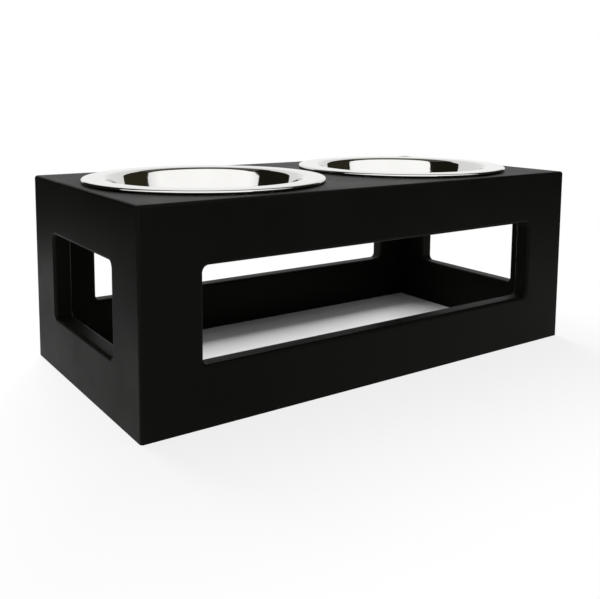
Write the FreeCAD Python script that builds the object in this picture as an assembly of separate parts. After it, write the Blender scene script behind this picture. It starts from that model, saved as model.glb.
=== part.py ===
import FreeCAD, Part
import math
import os

from FreeCAD import Placement, Rotation, Vector

# Bowls: drawn steel with a wide flat rim and a rolled edge, all in millimetres
MOUTH_DIAMETER = 214.0
RIM_WIDTH = 20.0
BOWL_DEPTH = 70.0
WALL_LEAN_DEGREES = 15.0
STEEL = 0.8
MOUTH_BEND = 5.2
FLOOR_CORNER = 25.0
EDGE_ROLL_DIAMETER = 4.0
EDGE_ROLL_TURN_DEGREES = 225.0

# Flats that stand in for each round stretch of the bowl's section
MOUTH_BEND_FLAT_COUNT = 1
FLOOR_CORNER_FLAT_COUNT = 2
EDGE_ROLL_FLAT_COUNT = 4

# How the bowls lie on the stand, and the wood left round their rims
RIM_GAP = 21.0
END_BORDER = 10.5
SIDE_BORDER = 12.7
HOLE_CLEARANCE = 3.0
BOWL_REST_GAP = 0.3

# Stand: boards with mitred edges, one window in each wall
BOARD = 19.05
TOP_RAIL = 57.15
WINDOW_HEIGHT = 88.9
BOTTOM_RAIL = 57.15
LONG_WALL_STILE = 60.3
SHORT_WALL_STILE = 60.3
WINDOW_CORNER = 6.35
WINDOW_ARRIS = 1.9
OUTER_ARRIS = 3.0

# Splines: strips in slots across the mitres, set nearer the inside corner than the outside
SPLINE_THICKNESS_PER_BOARD = 0.25
SPLINE_WIDTH_PER_BOARD = 0.7
SPLINE_FROM_HEEL_PER_BOARD = 0.55
SPLINE_STOP = 24.0
SLOT_CLEARANCE = 0.1

# Sizes that follow from the ones above
RIM_DIAMETER = MOUTH_DIAMETER + 2 * RIM_WIDTH
BOWL_SPACING = RIM_DIAMETER + RIM_GAP
HOLE_DIAMETER = MOUTH_DIAMETER + 2 * HOLE_CLEARANCE
STAND_LENGTH = BOWL_SPACING + RIM_DIAMETER + 2 * END_BORDER
STAND_DEPTH = RIM_DIAMETER + 2 * SIDE_BORDER
STAND_HEIGHT = BOTTOM_RAIL + WINDOW_HEIGHT + TOP_RAIL
SPLINE_THICKNESS = SPLINE_THICKNESS_PER_BOARD * BOARD
SPLINE_WIDTH = SPLINE_WIDTH_PER_BOARD * BOARD
SPLINE_FROM_HEEL = SPLINE_FROM_HEEL_PER_BOARD * BOARD

# Four corners of each board's outer face, as sides of the stand in X and Y and its floor or top in Z
BOARD_CORNERS = {
    "front": ((-1, -1, 0), (1, -1, 0), (1, -1, 1), (-1, -1, 1)),
    "back": ((-1, 1, 0), (1, 1, 0), (1, 1, 1), (-1, 1, 1)),
    "left": ((-1, -1, 0), (-1, 1, 0), (-1, 1, 1), (-1, -1, 1)),
    "right": ((1, -1, 0), (1, 1, 0), (1, 1, 1), (1, -1, 1)),
    "top": ((-1, -1, 1), (1, -1, 1), (1, 1, 1), (-1, 1, 1)),
}

# Each mitre is named for its two boards and placed by the way it points out from the stand's middle
MITRES = {
    "front_left": (-1, -1, 0),
    "front_right": (1, -1, 0),
    "back_left": (-1, 1, 0),
    "back_right": (1, 1, 0),
    "top_front": (0, -1, 1),
    "top_back": (0, 1, 1),
    "top_left": (-1, 0, 1),
    "top_right": (1, 0, 1),
}


def stand_corner(side_x, side_y, level, inset):
    """Corner of the stand's outer box, or of the box that lies the inset inside it."""
    x = side_x * (STAND_LENGTH / 2 - inset)
    y = side_y * (STAND_DEPTH / 2 - inset)
    return Vector(x, y, level * (STAND_HEIGHT - inset))


def eased_box():
    """Outer box of the stand with every edge eased except those on the floor."""
    box = Part.makeBox(STAND_LENGTH, STAND_DEPTH, STAND_HEIGHT, stand_corner(-1, -1, 0, 0))
    edges = [edge for edge in box.Edges if edge.BoundBox.ZMax > OUTER_ARRIS]
    return box.makeFillet(OUTER_ARRIS, edges)


def mitred_board(corners):
    """Board between its outer corners and the same corners a board's thickness further in."""
    outer = [stand_corner(*corner, 0) for corner in corners]
    inner = [stand_corner(*corner, BOARD) for corner in corners]
    outlines = [outer, inner]
    outlines += [[outer[i - 1], outer[i], inner[i], inner[i - 1]] for i in range(len(corners))]
    faces = [Part.Face(Part.makePolygon(outline + outline[:1])) for outline in outlines]
    solid = Part.makeSolid(Part.makeShell(faces))
    if solid.Volume < 0:
        solid.reverse()
    return solid


def runs_along(edge, direction):
    """Whether an edge goes along a direction rather than across it."""
    span = edge.Vertexes[-1].Point - edge.Vertexes[0].Point
    return abs(span.dot(direction)) > edge.Length / 2


def window_bar(length_x, length_y, along):
    """Bar with rounded corners that cuts the windows of two facing walls."""
    low_corner = Vector(-length_x / 2, -length_y / 2, BOTTOM_RAIL)
    bar = Part.makeBox(length_x, length_y, WINDOW_HEIGHT, low_corner)
    return bar.makeFillet(WINDOW_CORNER, [edge for edge in bar.Edges if runs_along(edge, along)])


def cut_window(board, bar, along):
    """Board with its window cut and the window's edges broken on both faces."""
    cut = board.cut(bar)
    reach = bar.BoundBox
    reach.enlarge(OUTER_ARRIS)
    edges = [edge for edge in cut.Edges if reach.isInside(edge.BoundBox)]
    return cut.makeChamfer(WINDOW_ARRIS, [edge for edge in edges if not runs_along(edge, along)])


def cut_holes(board):
    """Top board with a round hole for each bowl."""
    for side in (-1, 1):
        centre = Vector(side * BOWL_SPACING / 2, 0, 0)
        board = board.cut(Part.makeCylinder(HOLE_DIAMETER / 2, 2 * STAND_HEIGHT, centre))
    return board


def spline(points, clearance):
    """Strip square to a mitre, stopped short of the board's ends, or its slot when given a clearance."""
    outward = Vector(*points).normalize()
    along = Vector(*[1 - abs(side) for side in points])
    middle = Vector(0, 0, (STAND_HEIGHT - BOARD) / 2)
    heel = stand_corner(*points, BOARD)
    if not points[2]:
        heel += middle
    reach = Vector(STAND_LENGTH - 2 * BOARD, STAND_DEPTH - 2 * BOARD, STAND_HEIGHT - BOARD)
    length = reach.dot(along) - 2 * SPLINE_STOP + 2 * clearance
    thickness = SPLINE_THICKNESS + 2 * clearance
    width = SPLINE_WIDTH + 2 * clearance
    strip = Part.makeBox(thickness, width, length, Vector(-thickness / 2, -width / 2, -length / 2))
    turn = Rotation(outward, along.cross(outward), along)
    strip.Placement = Placement(heel + outward * SPLINE_FROM_HEEL, turn)
    return strip


def polar(centre, radius, degrees):
    """Point at a radius and angle from a centre in the XZ plane."""
    angle = math.radians(degrees)
    return centre + Vector(radius * math.cos(angle), 0, radius * math.sin(angle))


def rounded(centre, radius, start, end, flats):
    """Ends of the flats that go round a centre, each touching the arc of that radius at its middle."""
    turn = (end - start) / (flats + 1)
    reach = radius / math.cos(math.radians(turn / 2))
    return [polar(centre, reach, start + turn * (number + 0.5)) for number in range(flats + 1)]


def bowl():
    """Bowl turned about Z from its section, with the top of its rim at Z = 0."""
    lean = WALL_LEAN_DEGREES
    roll = EDGE_ROLL_DIAMETER / 2
    roll_centre = Vector(RIM_DIAMETER / 2 - roll, 0, -roll)
    bend_centre = Vector(MOUTH_DIAMETER / 2, 0, -MOUTH_BEND - STEEL)
    wall_top = polar(bend_centre, MOUTH_BEND + STEEL, 180 - lean)
    corner_z = FLOOR_CORNER - BOWL_DEPTH
    wall_drop = wall_top.z - polar(Vector(0, 0, corner_z), FLOOR_CORNER, -lean).z
    wall_foot_x = wall_top.x - wall_drop * math.tan(math.radians(lean))
    corner_centre = Vector(wall_foot_x - FLOOR_CORNER * math.cos(math.radians(lean)), 0, corner_z)

    def side_of_sheet(below):
        """One side of the sheet from the middle of the floor to the rim."""
        floor = [Vector(0, 0, -BOWL_DEPTH - below)]
        corner = rounded(corner_centre, FLOOR_CORNER + below, -90, -lean, FLOOR_CORNER_FLAT_COUNT)
        bend = rounded(bend_centre, MOUTH_BEND + STEEL - below, 180 - lean, 90, MOUTH_BEND_FLAT_COUNT)
        return floor + corner + bend

    edge_roll = rounded(roll_centre, roll, 90, 90 - EDGE_ROLL_TURN_DEGREES, EDGE_ROLL_FLAT_COUNT)
    roll_end = Vector(roll_centre.x - roll, 0, -STEEL)
    polished = side_of_sheet(0) + edge_roll + [roll_end]
    hidden = side_of_sheet(STEEL)
    section = Part.Face(Part.makePolygon(polished + hidden[::-1] + polished[:1]))
    return section.revolve(Vector(0, 0, 0), Vector(0, 0, 1), 360)


# Boards are mitred, eased outside, then cut
outside = eased_box()
boards = {name: mitred_board(corners).common(outside) for name, corners in BOARD_CORNERS.items()}
long_bar = window_bar(STAND_LENGTH - 2 * LONG_WALL_STILE, STAND_DEPTH + 2 * BOARD, Vector(0, 1, 0))
short_bar = window_bar(STAND_LENGTH + 2 * BOARD, STAND_DEPTH - 2 * SHORT_WALL_STILE, Vector(1, 0, 0))
for name in ("front", "back"):
    boards[name] = cut_window(boards[name], long_bar, Vector(0, 1, 0))
for name in ("left", "right"):
    boards[name] = cut_window(boards[name], short_bar, Vector(1, 0, 0))
boards["top"] = cut_holes(boards["top"])

# Each mitre's slot goes into both of its boards
parts = {}
for mitre, points in MITRES.items():
    slot = spline(points, SLOT_CLEARANCE)
    for name in mitre.split("_"):
        boards[name] = boards[name].cut(slot)
    parts[mitre + "_spline"] = spline(points, 0)
for name, board in boards.items():
    parts[name + "_panel"] = board

# Both bowls are alike and hang by their rims
rim_top = STAND_HEIGHT + BOWL_REST_GAP + EDGE_ROLL_DIAMETER
for name, side in (("left_bowl", -1), ("right_bowl", 1)):
    parts[name] = bowl()
    parts[name].translate(Vector(side * BOWL_SPACING / 2, 0, rim_top))

os.makedirs("parts", exist_ok=True)
for name, shape in parts.items():
    shape.exportStep("parts/" + name + ".step")
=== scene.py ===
import math

import bpy
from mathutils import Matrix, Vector


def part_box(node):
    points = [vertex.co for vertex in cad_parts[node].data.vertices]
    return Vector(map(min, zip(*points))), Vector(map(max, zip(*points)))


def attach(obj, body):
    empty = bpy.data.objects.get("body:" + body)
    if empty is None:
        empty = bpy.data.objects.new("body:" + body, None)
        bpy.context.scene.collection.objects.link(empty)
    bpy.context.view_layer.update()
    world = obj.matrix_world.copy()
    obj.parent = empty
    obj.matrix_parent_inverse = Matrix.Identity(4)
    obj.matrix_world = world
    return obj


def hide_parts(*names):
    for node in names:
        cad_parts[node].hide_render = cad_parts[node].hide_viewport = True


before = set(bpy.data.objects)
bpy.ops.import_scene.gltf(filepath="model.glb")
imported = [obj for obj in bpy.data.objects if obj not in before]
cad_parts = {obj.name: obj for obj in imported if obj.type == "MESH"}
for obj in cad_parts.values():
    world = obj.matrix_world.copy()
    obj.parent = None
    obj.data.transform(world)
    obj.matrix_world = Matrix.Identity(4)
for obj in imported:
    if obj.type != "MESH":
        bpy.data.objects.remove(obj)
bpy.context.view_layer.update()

bpy.context.scene.view_settings.view_transform = "Standard"


# Stand: five three-quarter-inch boards, mitred and glued into a box that is open underneath.
# Each wall has one window with rounded corners, routed round on both faces.
# The top has a round hole for each bowl. All of it is sprayed satin black.
FACING_WALL = {"front_panel": "back_panel", "left_panel": "right_panel"}
OUTWARD = {
    "front_panel": Vector((0, -1, 0)),
    "back_panel": Vector((0, 1, 0)),
    "left_panel": Vector((-1, 0, 0)),
    "right_panel": Vector((1, 0, 0)),
    "top_panel": Vector((0, 0, 1)),
}
OUTER_ARRIS = 0.003
STILE = 0.0603
RAIL = 0.05715
WINDOW_CORNER = 0.00635
WINDOW_ARRIS = 0.0036
HOLE_RADIUS = 0.110
HOLE_SIDES = 192
HOLE_CUTTER_LENGTH = 1.0
SLOT_CLEARANCE = 0.0001
MERGE_DISTANCE = 0.00001
SMOOTH_BELOW = math.radians(40)
OUTER_ARRIS_STEPS = 4
WINDOW_CORNER_STEPS = 10
WINDOW_ARRIS_STEPS = 5

top_low, top_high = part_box("top_panel")
board = top_high.z - top_low.z
stand_half = Vector((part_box("right_panel")[1].x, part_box("back_panel")[1].y, top_high.z / 2))
stand_middle = Vector((0, 0, stand_half.z))
bowl_centres = {name: sum(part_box(name), Vector()) / 2 for name in ("left_bowl", "right_bowl")}
splines = {name: node for name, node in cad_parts.items() if name.endswith("_spline")}


def only(piece):
    """Makes a piece the one selected and active object."""
    bpy.ops.object.select_all(action="DESELECT")
    piece.select_set(True)
    bpy.context.view_layer.objects.active = piece


def times(a, b):
    """Product of two vectors, axis by axis."""
    return Vector((a.x * b.x, a.y * b.y, a.z * b.z))


def add_block(name, middle, half):
    """Box of a size and place, left in edit mode with nothing selected."""
    bpy.ops.object.select_all(action="DESELECT")
    bpy.ops.mesh.primitive_cube_add(size=2, location=middle)
    block = bpy.context.object
    block.name = name
    block.scale = half
    bpy.ops.object.transform_apply(location=True, rotation=False, scale=True)
    bpy.ops.object.mode_set(mode="EDIT")
    bpy.ops.mesh.select_mode(type="EDGE")
    bpy.ops.mesh.select_all(action="DESELECT")
    return block


def select_edges(piece, wanted):
    """Selects, in edit mode, the edges whose two ends pass a test."""
    bpy.ops.mesh.select_all(action="DESELECT")
    bpy.ops.object.mode_set(mode="OBJECT")
    points = [vertex.co for vertex in piece.data.vertices]
    for edge in piece.data.edges:
        edge.select = wanted(points[edge.vertices[0]], points[edge.vertices[1]])
    bpy.ops.object.mode_set(mode="EDIT")


def cut_away(piece, cutter):
    """Takes the cutter's shape out of a piece and throws the cutter away."""
    only(piece)
    cut = piece.modifiers.new("cut", "BOOLEAN")
    cut.operation = "DIFFERENCE"
    cut.object = cutter
    bpy.ops.object.modifier_apply(modifier=cut.name)
    bpy.data.objects.remove(cutter)


def window_bar(outward):
    """Bar through a wall, with the window's outline and rounded corners."""
    through = Vector((abs(outward.x), abs(outward.y), 0))
    across = Vector((through.y, through.x, 0))
    half = times(through, stand_half) * 2 + across * (stand_half.dot(across) - STILE)
    half.z = stand_half.z - RAIL
    middle = stand_middle + times(outward, stand_half) * 2
    bar = add_block("window bar", middle, half)
    select_edges(bar, lambda a, b: abs((b - a).dot(through)) > (b - a).length / 2)
    bpy.ops.mesh.bevel(offset=WINDOW_CORNER, segments=WINDOW_CORNER_STEPS, affect="EDGES")
    bpy.ops.object.mode_set(mode="OBJECT")
    return bar


def round_window(wall, outward):
    """Rounds the edges of a wall's window on its outer and inner face."""
    across = Vector((abs(outward.y), abs(outward.x), 0))
    reach = stand_half.dot(across) - STILE + OUTER_ARRIS
    rise = stand_half.z - RAIL + OUTER_ARRIS

    def on_window(a, b):
        in_window = all(abs(p.dot(across)) < reach and abs(p.z - stand_middle.z) < rise for p in (a, b))
        return in_window and abs((b - a).dot(outward)) < OUTER_ARRIS

    only(wall)
    bpy.ops.object.mode_set(mode="EDIT")
    select_edges(wall, on_window)
    bpy.ops.mesh.bevel(
        offset=WINDOW_ARRIS, segments=WINDOW_ARRIS_STEPS, affect="EDGES", clamp_overlap=False
    )
    bpy.ops.object.mode_set(mode="OBJECT")


def mitred_board(name, outward):
    """Block of the whole stand with rounded edges, sawn down to one board and its mitres."""
    piece = add_block(name + "_painted", stand_middle, stand_half)
    select_edges(piece, lambda a, b: max(a.z, b.z) > stand_half.z)
    bpy.ops.mesh.bevel(offset=OUTER_ARRIS, segments=OUTER_ARRIS_STEPS, affect="EDGES")
    inner_face = stand_middle + times(outward, stand_half) - outward * board
    saw_cuts = [(inner_face, -outward)]
    for other in OUTWARD.values():
        if other.dot(outward) == 0:
            saw_cuts.append((stand_middle + times(outward + other, stand_half), other - outward))
    for point, waste_side in saw_cuts:
        bpy.ops.mesh.select_all(action="SELECT")
        bpy.ops.mesh.bisect(plane_co=point, plane_no=waste_side, use_fill=True, clear_outer=True)
    bpy.ops.object.mode_set(mode="OBJECT")
    return piece


def slot_cutter(strip):
    """Copy of a spline that is larger all round by the glue's room."""
    cutter = bpy.data.objects.new("slot cutter", strip.data.copy())
    cutter.matrix_world = strip.matrix_world
    bpy.context.scene.collection.objects.link(cutter)
    only(cutter)
    bpy.ops.object.mode_set(mode="EDIT")
    bpy.ops.mesh.select_all(action="SELECT")
    bpy.ops.mesh.remove_doubles(threshold=MERGE_DISTANCE)
    bpy.ops.mesh.normals_make_consistent(inside=False)
    bpy.ops.transform.shrink_fatten(value=SLOT_CLEARANCE, use_even_offset=True)
    bpy.ops.object.mode_set(mode="OBJECT")
    return cutter


def copy_of(piece, name):
    """Copy of a piece with its own mesh, left as the one selected object."""
    only(piece)
    bpy.ops.object.duplicate()
    bpy.context.object.name = name
    return bpy.context.object


def smooth_rounds(piece):
    """Shades the rounded edges smooth and keeps the broad faces flat."""
    only(piece)
    bpy.ops.object.shade_smooth_by_angle(angle=SMOOTH_BELOW)
    flat = piece.modifiers.new("flat faces", "WEIGHTED_NORMAL")
    flat.keep_sharp = True
    bpy.ops.object.modifier_apply(modifier=flat.name)


def link(material, source, target):
    """Joins a node's output to an input, both given as (node, socket)."""
    material.node_tree.links.new(source[0].outputs[source[1]], target[0].inputs[target[1]])


def add_node(material, kind, **settings):
    """New shader node; settings whose name is an input's are set on that input."""
    node = material.node_tree.nodes.new("ShaderNode" + kind)
    for name, value in settings.items():
        socket = name.replace("_", " ").title()
        if socket in node.inputs:
            node.inputs[socket].default_value = value
        else:
            setattr(node, name, value)
    return node


def satin_black():
    """Sprayed satin black: fine orange peel, slightly uneven gloss and a few specks of dust in the coat."""
    paint = bpy.data.materials.new("satin black paint")
    paint.use_nodes = True
    shader = paint.node_tree.nodes["Principled BSDF"]
    shader.inputs["Specular IOR Level"].default_value = 0.058
    shader.inputs["Specular Tint"].default_value = (1.0, 1.0, 0.86, 1)
    place = add_node(paint, "TexCoord")

    cloud = add_node(paint, "TexNoise", scale=14.0, detail=4.0, roughness=0.6)
    link(paint, (place, "Object"), (cloud, "Vector"))
    colour = add_node(paint, "ValToRGB")
    colour.color_ramp.elements[0].position = 0.3
    colour.color_ramp.elements[0].color = (0.0034, 0.0035, 0.0030, 1)
    colour.color_ramp.elements[1].position = 0.75
    colour.color_ramp.elements[1].color = (0.0054, 0.0055, 0.0048, 1)
    link(paint, (cloud, "Fac"), (colour, "Fac"))

    speck = add_node(paint, "TexVoronoi", scale=260.0)
    link(paint, (place, "Object"), (speck, "Vector"))
    speck_mask = add_node(paint, "MapRange", from_min=0.06, from_max=0.10, to_min=1.0, to_max=0.0)
    link(paint, (speck, "Distance"), (speck_mask, "Value"))
    dusted = add_node(paint, "Mix", data_type="RGBA")
    dusted.inputs["B"].default_value = (0.03, 0.03, 0.03, 1)
    link(paint, (colour, "Color"), (dusted, "A"))
    dust_amount = add_node(paint, "Math", operation="MULTIPLY")
    dust_amount.inputs[1].default_value = 0.35
    link(paint, (speck_mask, "Result"), (dust_amount, 0))
    link(paint, (dust_amount, "Value"), (dusted, "Factor"))
    link(paint, (dusted, "Result"), (shader, "Base Color"))

    gloss = add_node(paint, "MapRange", from_min=0.3, from_max=0.7, to_min=0.42, to_max=0.52)
    link(paint, (cloud, "Fac"), (gloss, "Value"))
    link(paint, (gloss, "Result"), (shader, "Roughness"))

    peel = add_node(paint, "TexNoise", scale=420.0, detail=2.0)
    link(paint, (place, "Object"), (peel, "Vector"))
    bump = add_node(paint, "Bump", strength=0.12, distance=0.0002)
    link(paint, (peel, "Fac"), (bump, "Height"))
    link(paint, (bump, "Normal"), (shader, "Normal"))
    return paint


boards = {}
for name in ("top_panel", *FACING_WALL):
    painted = mitred_board(name, OUTWARD[name])
    if name in FACING_WALL:
        cut_away(painted, window_bar(OUTWARD[name]))
        round_window(painted, OUTWARD[name])
    else:
        for centre in bowl_centres.values():
            bpy.ops.object.select_all(action="DESELECT")
            bpy.ops.mesh.primitive_cylinder_add(
                vertices=HOLE_SIDES, radius=HOLE_RADIUS, depth=HOLE_CUTTER_LENGTH, location=centre
            )
            cut_away(painted, bpy.context.object)
    for strip_name, strip in splines.items():
        if name.removesuffix("_panel") in strip_name.split("_"):
            cut_away(painted, slot_cutter(strip))
    smooth_rounds(painted)
    boards[name] = painted
for name, facing in FACING_WALL.items():
    boards[facing] = copy_of(boards[name], facing + "_painted")
    bpy.ops.transform.rotate(value=math.pi, orient_axis="Z", center_override=(0, 0, 0))
    bpy.ops.object.transform_apply(location=True, rotation=True, scale=True)

black_paint = satin_black()
for name, painted in boards.items():
    painted.data.materials.append(black_paint)
    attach(painted, "stand")
    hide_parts(name)


# Splines: strips of bare hardwood glued into slots across the eight mitres.
# They stay inside the joints, so only their grain colour is given here.
def bare_wood():
    """Straight-grained strip with darker lines along it."""
    wood = bpy.data.materials.new("bare spline wood")
    wood.use_nodes = True
    shader = wood.node_tree.nodes["Principled BSDF"]
    shader.inputs["Roughness"].default_value = 0.7
    place = add_node(wood, "TexCoord")
    grain = add_node(wood, "TexNoise", scale=90.0, detail=6.0, distortion=1.2)
    link(wood, (place, "Object"), (grain, "Vector"))
    colour = add_node(wood, "ValToRGB")
    colour.color_ramp.elements[0].color = (0.42, 0.27, 0.15, 1)
    colour.color_ramp.elements[1].color = (0.70, 0.53, 0.34, 1)
    link(wood, (grain, "Fac"), (colour, "Fac"))
    link(wood, (colour, "Color"), (shader, "Base Color"))
    return wood


spline_wood = bare_wood()
for strip in splines.values():
    strip.data.materials.clear()
    strip.data.materials.append(spline_wood)


# Bowls: stainless steel sheet drawn to a flat floor and a steep wall, with a wide flat rim.
# The rim's edge is rolled under and lies on the stand. Both bowls are polished and lift out.
STEEL = 0.0008
MOUTH_RADIUS = 0.107
DEPTH = 0.070
LEAN = math.radians(15)
MOUTH_BEND = 0.006
FLOOR_CORNER = 0.025
EDGE_ROLL = 0.002
ROUND_STEPS = 288
EDGE_ROLL_TURN = math.radians(270)
FLOOR_STEPS = 6
FLOOR_CORNER_STEPS = 18
WALL_STEPS = 8
MOUTH_BEND_STEPS = 10
RIM_STEPS = 4
EDGE_ROLL_STEPS = 24
START_SIZE = 0.001


def bowl_profile(centre, rim_radius, rim_top):
    """Line of the polished side of the sheet, from the floor's middle out to the end of the rolled edge."""
    floor_z = rim_top - DEPTH
    bend_centre = Vector((MOUTH_RADIUS, 0, rim_top - MOUTH_BEND))
    wall_top = bend_centre + MOUTH_BEND * Vector((-math.cos(LEAN), 0, math.sin(LEAN)))
    corner_z = floor_z + FLOOR_CORNER
    wall_foot_z = corner_z - FLOOR_CORNER * math.sin(LEAN)
    wall_foot_x = wall_top.x - (wall_top.z - wall_foot_z) * math.tan(LEAN)
    corner_centre = Vector((wall_foot_x - FLOOR_CORNER * math.cos(LEAN), 0, corner_z))
    roll_centre = Vector((rim_radius - EDGE_ROLL, 0, rim_top - EDGE_ROLL))
    bowl_axis = Vector((centre.x, centre.y, 0))

    def end_point():
        """Where the line ends now."""
        bpy.ops.object.mode_set(mode="OBJECT")
        here = next(vertex.co.copy() for vertex in bpy.context.object.data.vertices if vertex.select)
        bpy.ops.object.mode_set(mode="EDIT")
        return here

    def draw_to(point, steps):
        """Extrudes the end of the line straight to a point, in even steps."""
        step = (point + bowl_axis - end_point()) / steps
        for _ in range(steps):
            bpy.ops.mesh.extrude_region_move(TRANSFORM_OT_translate={"value": step})

    def sweep_round(middle, turn, steps):
        """Carries the end of the line round an arc in the upright plane."""
        bpy.ops.mesh.spin(steps=steps, angle=turn, center=middle + bowl_axis, axis=(0, 1, 0))

    bpy.ops.object.select_all(action="DESELECT")
    bpy.ops.mesh.primitive_plane_add(size=START_SIZE, location=(centre.x, centre.y, floor_z))
    bpy.ops.object.transform_apply(location=True, rotation=False, scale=True)
    bpy.ops.object.mode_set(mode="EDIT")
    bpy.ops.mesh.select_mode(type="VERT")
    bpy.ops.mesh.select_all(action="SELECT")
    bpy.ops.mesh.merge(type="CENTER")
    draw_to(Vector((corner_centre.x, 0, floor_z)), FLOOR_STEPS)
    sweep_round(corner_centre, math.pi / 2 - LEAN, FLOOR_CORNER_STEPS)
    draw_to(wall_top, WALL_STEPS)
    sweep_round(bend_centre, LEAN - math.pi / 2, MOUTH_BEND_STEPS)
    draw_to(Vector((roll_centre.x, 0, rim_top)), RIM_STEPS)
    sweep_round(roll_centre, -EDGE_ROLL_TURN, EDGE_ROLL_STEPS)
    bpy.ops.object.mode_set(mode="OBJECT")
    return bpy.context.object


def spun_bowl(name, centre):
    """Bowl spun from its profile and given the sheet's thickness on the hidden side."""
    low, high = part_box(name)
    piece = bowl_profile(centre, (high.x - low.x) / 2, high.z)
    piece.name = name + "_polished"
    bpy.ops.object.mode_set(mode="EDIT")
    bpy.ops.mesh.select_all(action="SELECT")
    bpy.ops.mesh.spin(steps=ROUND_STEPS, angle=math.tau, center=(centre.x, centre.y, 0), axis=(0, 0, 1))
    bpy.ops.mesh.select_all(action="SELECT")
    bpy.ops.mesh.remove_doubles(threshold=MERGE_DISTANCE)
    bpy.ops.mesh.normals_make_consistent(inside=False)
    bpy.ops.object.mode_set(mode="OBJECT")
    floor = min(piece.data.polygons, key=lambda face: face.center.z)
    if floor.normal.z < 0:
        bpy.ops.object.mode_set(mode="EDIT")
        bpy.ops.mesh.select_all(action="SELECT")
        bpy.ops.mesh.flip_normals()
        bpy.ops.object.mode_set(mode="OBJECT")
    sheet = piece.modifiers.new("sheet", "SOLIDIFY")
    sheet.thickness = STEEL
    sheet.offset = -1
    bpy.ops.object.modifier_apply(modifier=sheet.name)
    bpy.ops.object.shade_smooth_by_angle(angle=SMOOTH_BELOW)
    return piece


def polished_steel(name, centre):
    """Mirror-polished stainless steel with the faint rings that turning on a polishing wheel leaves."""
    steel = bpy.data.materials.new(name + " polished steel")
    steel.use_nodes = True
    shader = steel.node_tree.nodes["Principled BSDF"]
    shader.inputs["Metallic"].default_value = 1.0
    place = add_node(steel, "TexCoord")
    centred = add_node(steel, "Mapping")
    centred.inputs["Location"].default_value = (-centre.x, -centre.y, 0)
    link(steel, (place, "Object"), (centred, "Vector"))

    rings = add_node(steel, "TexWave", wave_type="RINGS", rings_direction="Z", scale=180.0, distortion=1.5)
    rings.inputs["Detail"].default_value = 3.0
    link(steel, (centred, "Vector"), (rings, "Vector"))
    haze = add_node(steel, "TexNoise", scale=30.0, detail=4.0)
    link(steel, (centred, "Vector"), (haze, "Vector"))

    colour = add_node(steel, "ValToRGB")
    colour.color_ramp.elements[0].color = (0.63, 0.625, 0.61, 1)
    colour.color_ramp.elements[1].color = (0.69, 0.685, 0.67, 1)
    link(steel, (haze, "Fac"), (colour, "Fac"))
    link(steel, (colour, "Color"), (shader, "Base Color"))
    gloss = add_node(steel, "MapRange", from_min=0.3, from_max=0.7, to_min=0.03, to_max=0.075)
    link(steel, (haze, "Fac"), (gloss, "Value"))
    link(steel, (gloss, "Result"), (shader, "Roughness"))
    bump = add_node(steel, "Bump", strength=0.04, distance=0.0001)
    link(steel, (rings, "Fac"), (bump, "Height"))
    link(steel, (bump, "Normal"), (shader, "Normal"))
    return steel


bowls = {"left_bowl": spun_bowl("left_bowl", bowl_centres["left_bowl"])}
bowls["right_bowl"] = copy_of(bowls["left_bowl"], "right_bowl_polished")
bpy.ops.transform.translate(value=bowl_centres["right_bowl"] - bowl_centres["left_bowl"])
bpy.ops.object.transform_apply(location=True, rotation=True, scale=True)
for name, bowl in bowls.items():
    bowl.data.materials.append(polished_steel(name, bowl_centres[name]))
    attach(bowl, name)
    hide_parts(name)


# Floor: a matt white paper sheet that the stand is set on, far larger than the stand.
# It takes the shadow under and round the stand, and fades to plain white further out.
FLOOR_HALF = 6.0
SHADOW_SHARE = 0.18
WHITE_FULL = 0.30


def seen_rays(shading):
    """Node that is 1 for what is seen, straight or mirrored, and 0 for light that falls on the object."""
    path = add_node(shading, "LightPath")
    seen = add_node(shading, "Math", operation="ADD")
    link(shading, (path, "Is Camera Ray"), (seen, 0))
    link(shading, (path, "Is Glossy Ray"), (seen, 1))
    return seen


def white_sheet():
    """Matt white that takes the stand's shadow, and shows as plain white away from it."""
    sheet = bpy.data.materials.new("white floor sheet")
    sheet.use_nodes = True
    sheet.node_tree.nodes.clear()
    place = add_node(sheet, "TexCoord")
    flat = add_node(sheet, "VectorMath", operation="ABSOLUTE")
    link(sheet, (place, "Object"), (flat, "Vector"))
    past = add_node(sheet, "VectorMath", operation="SUBTRACT")
    past.inputs[1].default_value = (stand_half.x, stand_half.y, 0)
    link(sheet, (flat, "Vector"), (past, 0))
    sides = add_node(sheet, "SeparateXYZ")
    link(sheet, (past, "Vector"), (sides, "Vector"))
    distance = add_node(sheet, "Math", operation="MAXIMUM")
    link(sheet, (sides, "X"), (distance, 0))
    link(sheet, (sides, "Y"), (distance, 1))
    outside = add_node(sheet, "MapRange", from_min=-board, from_max=0.0, to_max=1 - SHADOW_SHARE)
    link(sheet, (distance, "Value"), (outside, "Value"))
    further = add_node(sheet, "MapRange", from_min=0.0, from_max=WHITE_FULL, to_max=SHADOW_SHARE)
    further.interpolation_type = "SMOOTHSTEP"
    link(sheet, (distance, "Value"), (further, "Value"))
    away = add_node(sheet, "Math", operation="ADD")
    link(sheet, (outside, "Result"), (away, 0))
    link(sheet, (further, "Result"), (away, 1))

    share = add_node(sheet, "Math", operation="MULTIPLY")
    link(sheet, (away, "Value"), (share, 0))
    link(sheet, (seen_rays(sheet), "Value"), (share, 1))

    matt = add_node(sheet, "BsdfDiffuse", color=(0.86, 0.86, 0.86, 1))
    white = add_node(sheet, "Emission", color=(1, 1, 1, 1), strength=1.0)
    mix = add_node(sheet, "MixShader")
    link(sheet, (share, "Value"), (mix, 0))
    link(sheet, (matt, "BSDF"), (mix, 1))
    link(sheet, (white, "Emission"), (mix, 2))
    output = add_node(sheet, "OutputMaterial")
    link(sheet, (mix, "Shader"), (output, "Surface"))
    return sheet


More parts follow.
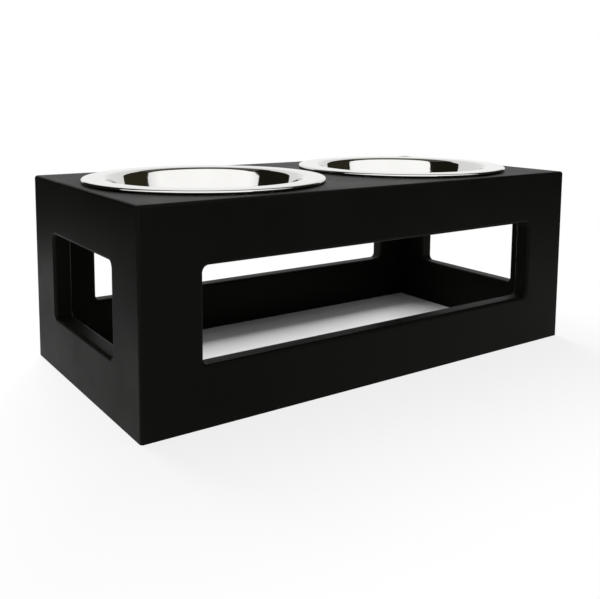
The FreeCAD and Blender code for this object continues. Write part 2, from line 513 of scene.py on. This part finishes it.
bpy.ops.object.select_all(action="DESELECT")
bpy.ops.mesh.primitive_plane_add(size=2 * FLOOR_HALF)
floor_sheet = bpy.context.object
floor_sheet.name = "floor_sheet"
floor_sheet.data.materials.append(white_sheet())


# Studio: a white room, brighter in front, with one broad light behind the stand.
# Dark cards stand at its right, left and front and hang above, and only the paint and the steel mirror them.
ROOM_FILL = 0.40
FRONT_WAY = (-0.469, -0.883, 0)
FRONT_BRIGHTER = 0.42
BACK_LIGHT_PLACE = Vector((0.2, 2.3, 1.5))
BACK_LIGHT_AIM = Vector((0, 0, 0.1))
BACK_LIGHT_WIDTH = 2.6
BACK_LIGHT_HEIGHT = 1.7
BACK_LIGHT_WATTS = 155.0
CARD_TOP = 1.2
DARK = (0.0125, 0.0118, 0.0072, 1)
RIGHT_DARK = (0.030, 0.027, 0.016, 1)
ROOF_DARK = (0.105, 0.100, 0.085, 1)
# Each upright card by its two ends, its lower and upper edge and its shade
UPRIGHT_CARDS = {
    "right flag": ((0.80, 0.13), (0.87, -0.72), 0, CARD_TOP, RIGHT_DARK),
    "left flag": ((-0.30, 0.64), (-1.20, 0.30), 0.03, CARD_TOP, DARK),
    "left low flag": ((-0.35, 0.15), (-0.90, 0.15), 0, 0.23, DARK),
    "front flag": ((0.87, -0.72), (0.05, -0.95), 0, 0.35, DARK),
}
# The level card above by its corners, from the left round the front to the back
ROOF_CORNERS = (
    (-1.2, 0.3), (-1.0, -0.05), (-0.55, -0.1), (0.1, -0.5),
    (0.45, -0.62), (0.87, -0.72), (0.87, 0.13), (-0.3, 0.9),
)
# Sloped cards that fill the corners between the upright cards and the one above
GUSSETS = {
    "right gusset": ((0.87, -0.72, 0.6), (0.45, -0.62, CARD_TOP), (0.87, -0.72, CARD_TOP)),
    "left gusset": (
        (-1.2, 0.3, 0.62), (-1.3, 0.05, 0.82), (-1.0, -0.05, CARD_TOP), (-1.2, 0.3, CARD_TOP),
    ),
}


def white_room():
    """World of even white that lights softly, and that the steel mirrors brighter in front."""
    room = bpy.data.worlds.new("white studio")
    room.use_nodes = True
    surroundings = room.node_tree.nodes["Background"]
    surroundings.inputs["Color"].default_value = (1, 1, 1, 1)
    level = add_node(room, "MapRange", to_min=ROOM_FILL, to_max=1.0)
    link(room, (seen_rays(room), "Value"), (level, "Value"))
    way = add_node(room, "TexCoord")
    facing = add_node(room, "VectorMath", operation="DOT_PRODUCT")
    facing.inputs[1].default_value = FRONT_WAY
    link(room, (way, "Generated"), (facing, 0))
    front = add_node(room, "MapRange", from_min=0.1, from_max=0.45, to_max=FRONT_BRIGHTER)
    link(room, (facing, "Value"), (front, "Value"))
    path = add_node(room, "LightPath")
    shine = add_node(room, "Math", operation="MULTIPLY")
    link(room, (front, "Result"), (shine, 0))
    link(room, (path, "Is Glossy Ray"), (shine, 1))
    total = add_node(room, "Math", operation="ADD")
    link(room, (level, "Result"), (total, 0))
    link(room, (shine, "Value"), (total, 1))
    link(room, (total, "Value"), (surroundings, "Strength"))
    return room


def dark_card(name, corners, colour):
    """Dark card through its corners, seen only in what the paint and the steel mirror."""
    bpy.ops.object.select_all(action="DESELECT")
    bpy.ops.mesh.primitive_circle_add(vertices=len(corners), fill_type="NGON")
    card = bpy.context.object
    card.name = name
    for vertex, corner in zip(card.data.vertices, corners):
        vertex.co = corner
    card.visible_camera = False
    card.visible_diffuse = False
    card.visible_shadow = False
    shade = bpy.data.materials.new(name)
    shade.use_nodes = True
    shade.node_tree.nodes.clear()
    glow = add_node(shade, "Emission", color=colour)
    output = add_node(shade, "OutputMaterial")
    link(shade, (glow, "Emission"), (output, "Surface"))
    card.data.materials.append(shade)


bpy.context.scene.world = white_room()

back_lamp = bpy.data.lights.new("back light", "AREA")
back_lamp.shape = "RECTANGLE"
back_lamp.size = BACK_LIGHT_WIDTH
back_lamp.size_y = BACK_LIGHT_HEIGHT
back_lamp.energy = BACK_LIGHT_WATTS
back_light = bpy.data.objects.new("back light", back_lamp)
back_light.location = BACK_LIGHT_PLACE
back_light.rotation_euler = (BACK_LIGHT_AIM - BACK_LIGHT_PLACE).to_track_quat("-Z", "Y").to_euler()
back_light.visible_glossy = False
bpy.context.scene.collection.objects.link(back_light)

for name, (near, far, low, high, shade) in UPRIGHT_CARDS.items():
    dark_card(name, [(*near, low), (*far, low), (*far, high), (*near, high)], shade)
dark_card("roof flag", [(x, y, CARD_TOP) for x, y in ROOF_CORNERS], ROOF_DARK)
for name, corners in GUSSETS.items():
    dark_card(name, corners, DARK)


# Camera: at the photograph's place, a little above the rims and off the front left corner.
# Its place, turn and lens were solved from the stand's corners, and its shift gives the framing.
LENS = 46.751
SENSOR = 36.0
SHIFT_RIGHT = 0.0083
SHIFT_UP = -0.1908
CAMERA_PLACE = (-0.5256, -0.7235, 0.2931)
CAMERA_TURN_DEGREES = (83.38, -0.385, -34.763)

camera_data = bpy.data.cameras.new("camera")
camera_data.lens = LENS
camera_data.sensor_width = SENSOR
camera_data.shift_x = SHIFT_RIGHT
camera_data.shift_y = SHIFT_UP
camera = bpy.data.objects.new("camera", camera_data)
camera.location = CAMERA_PLACE
camera.rotation_euler = [math.radians(angle) for angle in CAMERA_TURN_DEGREES]
bpy.context.scene.collection.objects.link(camera)
bpy.context.scene.camera = camera
